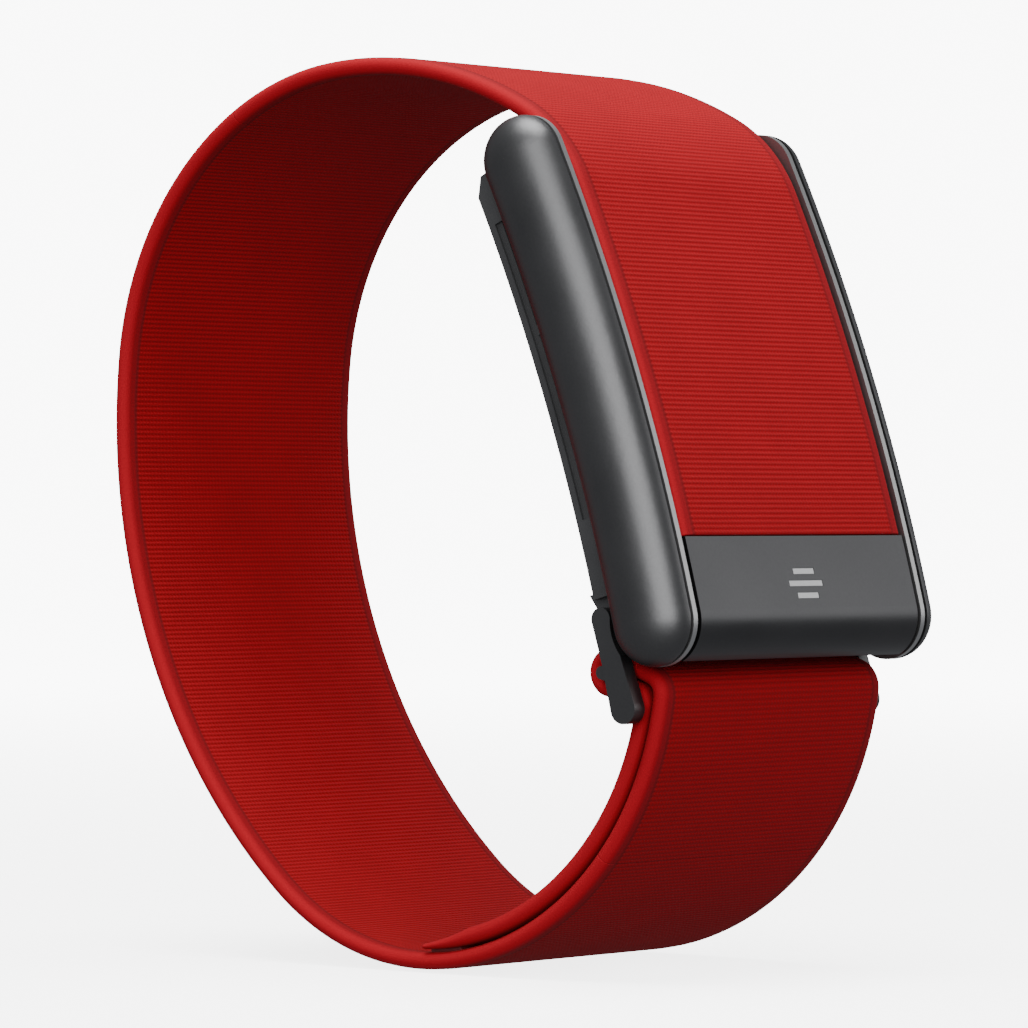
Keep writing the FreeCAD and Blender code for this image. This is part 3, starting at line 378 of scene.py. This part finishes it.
# ---- Route of the band ---------------------------------------------------------------------
# The band leaves the plate's top edge, covers the pod, goes over the top and round the back,
# comes up the front, folds over the link's bar and lies down inside its own front layer.
POD_BEND_RADIUS = 167.5 * MM
POD_MID_DEPTH = 3.1 * MM
POD_MID_RADIUS = POD_BEND_RADIUS - POD_MID_DEPTH
POD_MIDDLE = Vector((0, -28.4, 9.85)) * MM
POD_TILT = 19.9
POD_LOW_END = -19.8
PLATE_REACH = 8.1
SEAM_GAP = 0.1
SEAM_PLACE = (POD_LOW_END + PLATE_REACH + SEAM_GAP) * MM
FACE_LEAVE = 13.8 * MM
TOP_BENDS = [(12.0 * MM, 37.0), (31.0 * MM, 34.0), (23.0 * MM, 78.0)]
LOW_BACK_TURN = 56.0
UNDER_BEND = (21.0 * MM, 50.0)
FRONT_END_HEADING = 352.0
FOLD_HEADING = 69.0
FOLD_RUN = 3.3 * MM
FOLD_TIP_RADIUS = 2.0 * MM
FOLD_CORNER_RADIUS = 0.35 * MM
BAR_RADIUS = 0.45 * MM
BAR_GAP = 0.05 * MM
BULB_RADIUS = BAR_RADIUS + BAR_GAP + BAND_THICKNESS
LINK_LENGTH = 3.7 * MM
LINK_LEAN = 11.0
LAYER_GAP = 0.22 * MM
TAIL_EXTRA = 8.0


def outward(heading):
    """Unit vector away from the loop where the band runs along a heading, in degrees."""
    turn = math.radians(heading)
    return Vector((0, -math.cos(turn), math.sin(turn)))


def along(heading):
    """Unit vector along the band at a heading."""
    turn = math.radians(heading)
    return Vector((0, math.sin(turn), math.cos(turn)))


def pod_heading(place):
    """Heading of the pod's face at a place along its arc, from its middle."""
    return POD_TILT + math.degrees(place / POD_MID_RADIUS)


POD_CENTRE = POD_MIDDLE - outward(POD_TILT) * POD_BEND_RADIUS


def pod_point(place):
    return POD_CENTRE + outward(pod_heading(place)) * POD_BEND_RADIUS


def arc_steps(route, radius, turn, step):
    """Extend a route of (point, heading) by a tangent arc; a negative radius turns outwards."""
    point, heading = route[-1]
    centre = point - outward(heading) * radius
    count = max(1, round(abs(radius * math.radians(turn)) / step))
    for i in range(1, count + 1):
        here = heading + turn * i / count
        route.append((centre + outward(here) * radius, here))


def run_steps(route, length, step):
    """Extend a route by a straight run."""
    point, heading = route[-1]
    count = max(1, round(length / step))
    for i in range(1, count + 1):
        route.append((point + along(heading) * length * i / count, heading))


def unit_reach(heading, turn):
    """How far a tangent arc of radius one goes from its start."""
    return outward(heading + turn) - outward(heading)


pin_low, pin_high = (Vector(corner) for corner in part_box("link_pin"))
LINK_PIN = Vector((0, (pin_low.y + pin_high.y) / 2, (pin_low.z + pin_high.z) / 2))
BAR = LINK_PIN + along(180 - LINK_LEAN) * LINK_LENGTH
RUN_START = BAR + outward(FOLD_HEADING) * BULB_RADIUS - along(FOLD_HEADING) * FOLD_RUN
TIP_CENTRE = RUN_START - outward(FOLD_HEADING) * FOLD_TIP_RADIUS
FRONT_END = TIP_CENTRE + outward(FRONT_END_HEADING) * FOLD_TIP_RADIUS

STEP = RIB_PITCH / 4
route = [(pod_point(SEAM_PLACE), pod_heading(SEAM_PLACE))]
leave_heading = pod_heading(FACE_LEAVE)
arc_steps(route, POD_BEND_RADIUS, leave_heading - route[0][1], STEP)
for radius, turn in TOP_BENDS:
    arc_steps(route, radius, turn, STEP)
back_heading = route[-1][1]
under_heading = back_heading + LOW_BACK_TURN
front_heading = under_heading + UNDER_BEND[1]
under_reach = unit_reach(under_heading, UNDER_BEND[1]) * UNDER_BEND[0]
left_over = FRONT_END - route[-1][0] - under_reach
back_reach = unit_reach(back_heading, LOW_BACK_TURN)
front_reach = unit_reach(front_heading, FRONT_END_HEADING - front_heading)
spread = back_reach.y * front_reach.z - back_reach.z * front_reach.y
low_back_radius = (left_over.y * front_reach.z - left_over.z * front_reach.y) / spread
front_radius = (back_reach.y * left_over.z - back_reach.z * left_over.y) / spread
arc_steps(route, low_back_radius, LOW_BACK_TURN, STEP)
arc_steps(route, *UNDER_BEND, STEP)
arc_steps(route, front_radius, FRONT_END_HEADING - front_heading, STEP)
arc_steps(route, FOLD_TIP_RADIUS, 360 + FOLD_HEADING - FRONT_END_HEADING, STEP)
run_steps(route, FOLD_RUN, STEP)
arc_steps(route, BULB_RADIUS, 270 - FOLD_HEADING, STEP / 2)
front_centre = FRONT_END - outward(FRONT_END_HEADING) * front_radius
tail_radius = front_radius - 2 * BAND_THICKNESS - LAYER_GAP
corner_reach = tail_radius - FOLD_CORNER_RADIUS
corner_rise = BAR.z - BULB_RADIUS - FOLD_CORNER_RADIUS - front_centre.z
tail_heading = 540 + math.degrees(math.asin(corner_rise / corner_reach))
corner_y = front_centre.y - corner_reach * math.cos(math.radians(tail_heading - 540))
run_steps(route, route[-1][0].y - corner_y, STEP)
arc_steps(route, -FOLD_CORNER_RADIUS, tail_heading - 630, STEP / 4)
arc_steps(route, -tail_radius, front_heading + 180 - tail_heading, STEP)
arc_steps(route, -(UNDER_BEND[0] - 2 * BAND_THICKNESS - LAYER_GAP), -TAIL_EXTRA, STEP)


# ---- Band pieces -------------------------------------------------------------------------
# One knitted length, cut here only where it bends with a moving part: the stretch from the lid
# over the top, the plain loop, and the stretch that folds over the link and ends as the tail.
TOP_CUT = 120.0
FRONT_CUT = 320.0
TAIL_TAPER = 4.0 * MM
TAIL_THINNEST = 0.35
ROUND_STEPS = 8


def band_section():
    """Closed outline across the band, as (x, depth): flat with rounded edges."""
    half, bow, crease = BAND_WIDTH / 2, BAND_THICKNESS / 2, 0.1 * MM
    flat = half - bow
    border = half - SELVEDGE
    xs = [-flat, -border - crease, -border + crease]
    xs += [border * (i / 5 - 1) for i in range(1, 10)]
    xs += [border - crease, border + crease, flat]
    outline = [(x, 0.0) for x in xs]
    turns = [math.pi * i / ROUND_STEPS for i in range(1, ROUND_STEPS)]
    outline += [(flat + bow * math.sin(a), bow - bow * math.cos(a)) for a in turns]
    outline += [(x, BAND_THICKNESS) for x in reversed(xs)]
    outline += [(-flat - bow * math.sin(a), bow + bow * math.cos(a)) for a in turns]
    return outline


def band_piece(name, first, last, taper):
    """Closed strip of band along route points first to last, and its length; UVs in millimetres."""
    outline = band_section()
    count = len(outline)
    girth = [0.0]
    for i in range(count):
        (x0, d0), (x1, d1) = outline[i], outline[(i + 1) % count]
        girth.append(girth[-1] + math.hypot(x1 - x0, d1 - d0))
    travelled = [0.0]
    for i in range(1, len(route)):
        travelled.append(travelled[-1] + (route[i][0] - route[i - 1][0]).length)
    points, faces, spots = [], [], []
    rings = range(first, last + 1)
    for ring, i in enumerate(rings):
        point, heading = route[i]
        away = outward(heading)
        left = travelled[last] - travelled[i]
        thin = 1.0 if left >= taper else TAIL_THINNEST + (1 - TAIL_THINNEST) * left / taper
        for x, depth in outline:
            deep = BAND_THICKNESS - (BAND_THICKNESS - depth) * thin
            points.append(point + Vector((x, 0, 0)) - away * deep)
            spots.append((travelled[i], abs(x)))
        if ring:
            base = ring * count
            for j in range(count):
                k = (j + 1) % count
                faces.append((base + j, base + k, base - count + k, base - count + j))
    faces.append(tuple(range(count)))
    faces.append(tuple((len(rings) - 1) * count + j for j in reversed(range(count))))
    mesh = bpy.data.meshes.new(name)
    mesh.from_pydata(points, [], faces)
    for attribute, index in (("along", 0), ("side", 1)):
        layer = mesh.attributes.new(attribute, "FLOAT", "POINT")
        layer.data.foreach_set("value", [spot[index] for spot in spots])
    layer = mesh.uv_layers.new(name="UVMap")
    for face in mesh.polygons:
        corners = [mesh.loops[i].vertex_index % count for i in face.loop_indices]
        wraps = face.loop_total == 4 and max(corners) == count - 1 and min(corners) == 0
        for i in face.loop_indices:
            vertex = mesh.loops[i].vertex_index
            spot = count if wraps and vertex % count == 0 else vertex % count
            layer.data[i].uv = (girth[spot] / MM, spots[vertex][0] / MM)
        face.use_smooth = face.loop_total == 4
    piece = bpy.data.objects.new(name, mesh)
    bpy.context.collection.objects.link(piece)
    return piece, travelled[last] - travelled[first]


def route_index(heading):
    """Route point nearest a heading."""
    return min(range(len(route)), key=lambda i: abs(route[i][1] - heading))


KNIT = red_knit()
RIBS = rib_tree(KNIT)
top_cut = route_index(TOP_CUT)
front_cut = route_index(FRONT_CUT)
cuts = {"band_over_lid": (0, top_cut, 0.0),
        "band_loop": (top_cut, front_cut, 0.0),
        "band_over_link": (front_cut, len(route) - 1, TAIL_TAPER)}
band = {}
for name, (first, last, taper) in cuts.items():
    piece, length = band_piece(name, first, last, taper)
    run_tree(piece, RIBS, Rib_Pitch=RIB_PITCH, Rib_Height=RIB_HEIGHT,
             Inner_Edge=BAND_WIDTH / 2 - SELVEDGE)
    band[name] = piece

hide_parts("band_lid_section", "band_top_flex")
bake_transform(band["band_over_lid"])
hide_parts("band_main")
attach(band["band_loop"], "pod_and_band")
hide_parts("band_lower_flex", "band_fold", "band_tail")
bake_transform(band["band_over_link"])


# ---- Metal of the pod ----------------------------------------------------------------------
# Side covers, plate, lid and link are dark anodised aluminium with a fine satin grain; the
# chassis rims beside the band are the same metal, painted lighter grey along their edges as a highlight.
METAL_BUMP = 0.008 * MM
RIM_HIGHLIGHT_START = 12.74 * MM
RIM_HIGHLIGHT_FULL = 12.82 * MM


def metal_grain():
    """Fine blasted grain, soft stains and handling wear on metal, from object coordinates."""
    tree, start, end = shader_group(
        "metal_grain",
        [("Dark", "NodeSocketColor", None), ("Light", "NodeSocketColor", None),
         ("Rough", "NodeSocketFloat", None)],
        [("Colour", "NodeSocketColor"), ("Roughness", "NodeSocketFloat"), ("Height", "NodeSocketFloat")])
    place = tree.nodes.new("ShaderNodeTexCoord").outputs["Object"]
    fine = noise(tree, place, 5200.0, 2.0)
    soft = noise(tree, place, 130.0, 3.0)
    tone = maths(tree, "MULTIPLY_ADD", fine, 0.35, maths(tree, "MULTIPLY", soft, 0.65))
    colour = mix_colour(tree, tone, start.outputs["Dark"], start.outputs["Light"])
    tree.links.new(colour, end.inputs["Colour"])
    change = maths(tree, "MULTIPLY", maths(tree, "SUBTRACT", soft, 0.5), 0.12)
    tree.links.new(maths(tree, "ADD", start.outputs["Rough"], change), end.inputs["Roughness"])
    tree.links.new(fine, end.inputs["Height"])
    return tree


METAL_GRAIN = metal_grain()


def add_metal(tree, dark, light, rough):
    """Metal grain between two colours."""
    metal = add_group(tree, METAL_GRAIN)
    return link_inputs(tree, metal, Dark=(*dark, 1), Light=(*light, 1), Rough=rough)


def satin_metal(name, dark, light, rough, grain):
    """One metal all over."""
    material, tree, shader = new_material(name)
    metal = add_metal(tree, dark, light, rough)
    add_bump(tree, shader, metal.outputs["Height"], grain, METAL_BUMP)
    link_inputs(tree, shader, Base_Color=metal.outputs["Colour"], Metallic=1.0,
                Roughness=metal.outputs["Roughness"])
    return material


def dress(material, *names):
    """Give CAD nodes a finish."""
    for name in names:
        for slot in nodes[name].material_slots:
            slot.material = material


# One metal in two copies: a lighter one on the covers and link as painted highlight, and a darker one on
# the plate and lid carrier as painted shade.
GUNMETAL_LIT_COPY = satin_metal("gunmetal", (0.066, 0.066, 0.067), (0.108, 0.108, 0.110), 0.43, 0.25)
PLATE_METAL_SHADED_COPY = satin_metal("plate_metal", (0.042, 0.042, 0.043), (0.066, 0.066, 0.068), 0.36, 0.25)
MARK_METAL = satin_metal("rim_metal", (0.26, 0.26, 0.26), (0.38, 0.38, 0.38), 0.36, 0.15)
dress(GUNMETAL_LIT_COPY, "side_cover_left", "side_cover_right", "link_frame")
dress(PLATE_METAL_SHADED_COPY, "metal_plate", "lid_carrier")
dress(MARK_METAL, "plate_mark")


def chassis_metal_with_rim_highlight():
    """Dark metal, painted lighter grey as a highlight on the rims at the chassis's two sides."""
    material, tree, shader = new_material("chassis_metal")
    split = tree.nodes.new("ShaderNodeSeparateXYZ")
    tree.links.new(tree.nodes.new("ShaderNodeTexCoord").outputs["Object"], split.inputs[0])
    off_middle = maths(tree, "ABSOLUTE", split.outputs[0])
    # The rims' lighter grey is a painted highlight.
    rim_highlight_share = stretch_range(tree, off_middle, RIM_HIGHLIGHT_START, RIM_HIGHLIGHT_FULL, 0.0, 1.0)
    inner = add_metal(tree, (0.040, 0.040, 0.040), (0.075, 0.075, 0.075), 0.42)
    rim = add_metal(tree, (0.26, 0.26, 0.26), (0.38, 0.38, 0.38), 0.36)
    add_bump(tree, shader, rim.outputs["Height"], 0.2, METAL_BUMP)
    colour = mix_colour(tree, rim_highlight_share, inner.outputs["Colour"], rim.outputs["Colour"])
    link_inputs(tree, shader, Base_Color=colour, Metallic=1.0, Roughness=inner.outputs["Roughness"])
    return material


dress(chassis_metal_with_rim_highlight(), "chassis")


# ---- Skin-side housing, gaskets and rails ----------------------------------------------------
# The back housing is moulded black polymer; black rubber cords sit in the groove beside each
# side cover; thin steel strips line the slots that the charger slides on.
MOULDING_BUMP = 0.01 * MM


def black_moulding(name, base, rough, pebble):
    """Pebbled black polymer or rubber."""
    material, tree, shader = new_material(name)
    place = tree.nodes.new("ShaderNodeTexCoord").outputs["Object"]
    pebbles = tree.nodes.new("ShaderNodeTexVoronoi")
    pebbles.inputs["Scale"].default_value = 6000.0
    tree.links.new(place, pebbles.inputs["Vector"])
    soft = noise(tree, place, 220.0, 3.0)
    darker, lighter = ((*[part * share for part in base], 1) for share in (0.75, 1.3))
    colour = mix_colour(tree, soft, darker, lighter)
    add_bump(tree, shader, pebbles.outputs["Distance"], pebble, MOULDING_BUMP)
    rough_map = stretch_range(tree, soft, 0.2, 0.8, rough - 0.07, rough + 0.07)
    link_inputs(tree, shader, Base_Color=colour, Roughness=rough_map)
    return material


POLYMER = black_moulding("black_polymer", (0.030, 0.030, 0.031), 0.42, 0.35)
RUBBER = black_moulding("black_rubber", (0.010, 0.010, 0.010), 0.75, 0.2)
dress(POLYMER, "back_housing", "light_barrier")
dress(RUBBER, "side_gasket_left", "side_gasket_right", "window_gasket", "housing_gasket", "haptic_pad")
STEEL = satin_metal("steel", (0.42, 0.42, 0.43), (0.60, 0.60, 0.61), 0.30, 0.2)
dress(STEEL, "slide_rail_left", "slide_rail_right", "lid_hinge_pin", "link_pin", "fabric_clamp_strip",
      "clamp_screws", "latch_spring", "housing_screws", "rf_shield", "haptic_can", "haptic_shaft",
      "haptic_weight")


# ---- Sensor window, lamps and contacts ---------------------------------------------------------
# A dark polished window lies over green-lit lamps and light sensors; three gilt contacts
# beside it take the charge.
def dark_window():
    """Near-black polished window with faint smears."""
    material, tree, shader = new_material("dark_window")
    place = tree.nodes.new("ShaderNodeTexCoord").outputs["Object"]
    smear = noise(tree, place, 160.0, 4.0)
    colour = mix_colour(tree, smear, (0.006, 0.006, 0.008, 1), (0.016, 0.016, 0.020, 1))
    rough = stretch_range(tree, smear, 0.3, 0.8, 0.05, 0.16)
    link_inputs(tree, shader, Base_Color=colour, Roughness=rough, Coat_Weight=0.6)
    return material


dress(dark_window(), "optical_window")
GOLD = satin_metal("gold_contact", (0.62, 0.40, 0.14), (0.84, 0.60, 0.26), 0.25, 0.15)
dress(GOLD, "charge_contacts", "antenna")


def tinted(name, low, high, rough, scale):
    """Plain moulded or coated finish with a soft change of tone."""
    material, tree, shader = new_material(name)
    place = tree.nodes.new("ShaderNodeTexCoord").outputs["Object"]
    soft = noise(tree, place, scale, 4.0)
    add_bump(tree, shader, soft, 0.3, MOULDING_BUMP)
    link_inputs(tree, shader, Base_Color=mix_colour(tree, soft, (*low, 1), (*high, 1)),
                Roughness=stretch_range(tree, soft, 0.2, 0.8, rough - 0.06, rough + 0.06))
    return material


dress(tinted("led_resin", (0.55, 0.62, 0.30), (0.85, 0.86, 0.60), 0.25, 1500.0), "led_emitters")


# ---- Electronics inside the pod -----------------------------------------------------------------
# Two green boards joined by a connector, moulded chips, and a foil pouch cell beside them.
dress(tinted("solder_mask", (0.008, 0.050, 0.022), (0.020, 0.090, 0.045), 0.35, 900.0),
      "sensor_board", "main_board")
dress(tinted("chip_mould", (0.030, 0.030, 0.032), (0.060, 0.060, 0.064), 0.45, 1200.0),
      "photodiodes", "board_connector")
dress(tinted("foil_pouch", (0.36, 0.37, 0.39), (0.52, 0.53, 0.55), 0.42, 600.0), "battery")
dress(tinted("bond_film", (0.10, 0.008, 0.010), (0.20, 0.018, 0.020), 0.55, 800.0), "tail_bond")
